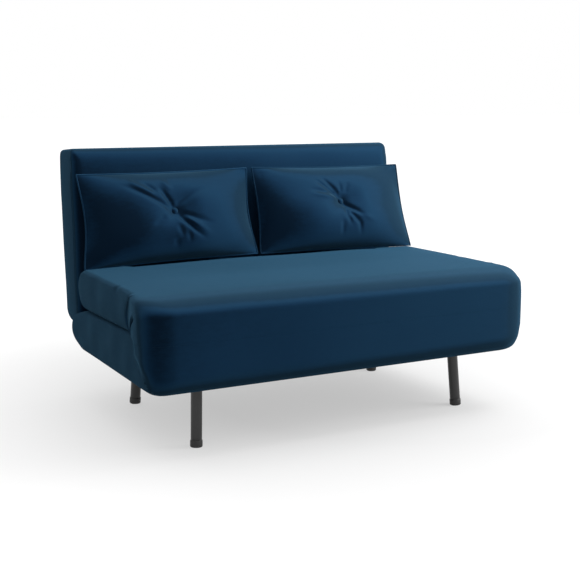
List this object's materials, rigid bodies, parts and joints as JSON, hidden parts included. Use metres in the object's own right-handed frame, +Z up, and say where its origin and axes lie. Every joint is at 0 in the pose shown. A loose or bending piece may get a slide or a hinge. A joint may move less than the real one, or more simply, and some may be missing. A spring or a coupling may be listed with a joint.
{
  "type": "click-clack sofa bed",
  "caption": "Sofa bed with a seat leaf that folds forward, a click-clack back that reclines flat, splayed round legs and loose button-tufted cushions.",
  "frame": {"origin": "on the floor, under the middle of the whole sofa's box", "axes": "+X along the sofa to the right of someone who faces it, +Y from the front edge to the back, +Z up"},
  "size_m": [1.23, 0.924, 0.8169],
  "materials": {
    "velvet": "matte",
    "lining": "matte",
    "timber": "matte",
    "slat_wood": "satin",
    "black_steel": "satin",
    "zinc_steel": "satin",
    "foot_plastic": "matte"
  },
  "bodies": {
    "base": {"bearer_front": "timber", "bearer_rear": "timber", "click_pin_left": "black_steel", "click_pin_right": "black_steel", "click_plate_left": "zinc_steel", "click_plate_right": "zinc_steel", "dust_cover": "lining", "foot_cap_front_left": "foot_plastic", "foot_cap_front_right": "foot_plastic", "foot_cap_rear_left": "foot_plastic", "foot_cap_rear_right": "foot_plastic", "front_cover": "velvet", "front_rail": "timber", "leaf_hinge_lower_left": "zinc_steel", "leaf_hinge_lower_right": "zinc_steel", "leg_front_left": "black_steel", "leg_front_right": "black_steel", "leg_rear_left": "black_steel", "leg_rear_right": "black_steel", "lower_pad": "velvet", "rear_rail": "timber", "side_rail_left": "timber", "side_rail_right": "timber", "slat_1": "slat_wood", "slat_2": "slat_wood", "slat_3": "slat_wood", "slat_4": "slat_wood", "slat_5": "slat_wood"},
    "leaf": {"leaf_hinge_upper_left": "zinc_steel", "leaf_hinge_upper_right": "zinc_steel", "leaf_pad_bed": "velvet", "leaf_pad_seat": "velvet", "leaf_tube_front": "zinc_steel", "leaf_tube_left": "zinc_steel", "leaf_tube_rear": "zinc_steel", "leaf_tube_right": "zinc_steel"},
    "swing_leg_left": {"swing_leg_left": "black_steel", "swing_foot_left": "foot_plastic"},
    "swing_leg_right": {"swing_leg_right": "black_steel", "swing_foot_right": "foot_plastic"},
    "backrest": {"back_pad_front": "velvet", "back_pad_rear": "velvet", "back_tube_bottom": "zinc_steel", "back_tube_left": "zinc_steel", "back_tube_right": "zinc_steel", "back_tube_top": "zinc_steel", "click_arm_left": "zinc_steel", "click_arm_right": "zinc_steel", "hang_bracket_left": "black_steel", "hang_bracket_right": "black_steel"},
    "hang_leg_left": {"hang_leg_left": "black_steel", "hang_foot_left": "foot_plastic"},
    "hang_leg_right": {"hang_leg_right": "black_steel", "hang_foot_right": "foot_plastic"},
    "cushion_left": {"cushion_left": "velvet", "button_front_left": "velvet", "button_rear_left": "velvet"},
    "cushion_right": {"cushion_right": "velvet", "button_front_right": "velvet", "button_rear_right": "velvet"}
  },
  "joints": [
    {"name": "leaf_fold", "type": "hinge", "parent": "base", "child": "leaf", "pos_m": [0, -0.45003, 0.328], "axis": [1, 0, 0], "range_deg": [0, 180], "deforming": ["front_cover"]},
    {"name": "swing_left", "type": "hinge", "parent": "leaf", "child": "swing_leg_left", "pos_m": [-0.43, 0.19497, 0.38825], "axis": [0, -1, 0], "range_deg": [0, 90]},
    {"name": "swing_right", "type": "hinge", "parent": "leaf", "child": "swing_leg_right", "pos_m": [0.43, 0.19497, 0.38825], "axis": [0, 1, 0], "range_deg": [0, 90]},
    {"name": "back_recline", "type": "hinge", "parent": "base", "child": "backrest", "pos_m": [0, 0.32586, 0.2515], "axis": [-1, 0, 0], "range_deg": [0, 86]},
    {"name": "hang_left", "type": "hinge", "parent": "backrest", "child": "hang_leg_left", "pos_m": [-0.43, 0.44903, 0.69399], "axis": [1, 0, 0], "range_deg": [0, 86]},
    {"name": "hang_right", "type": "hinge", "parent": "backrest", "child": "hang_leg_right", "pos_m": [0.43, 0.44903, 0.69399], "axis": [1, 0, 0], "range_deg": [0, 86]},
    {"name": "cushion_lift_left", "type": "slide", "parent": "backrest", "child": "cushion_left", "axis": [0, 0.0698, 0.9976], "range_m": [0, 0.4]},
    {"name": "cushion_lift_right", "type": "slide", "parent": "backrest", "child": "cushion_right", "axis": [0, 0.0698, 0.9976], "range_m": [0, 0.4]}
  ],
  "couplings": [
    {"joint": "swing_left", "follows": "leaf_fold", "ratio": 0.5},
    {"joint": "swing_right", "follows": "leaf_fold", "ratio": 0.5},
    {"joint": "hang_left", "follows": "back_recline", "ratio": 1},
    {"joint": "hang_right", "follows": "back_recline", "ratio": 1}
  ]
}
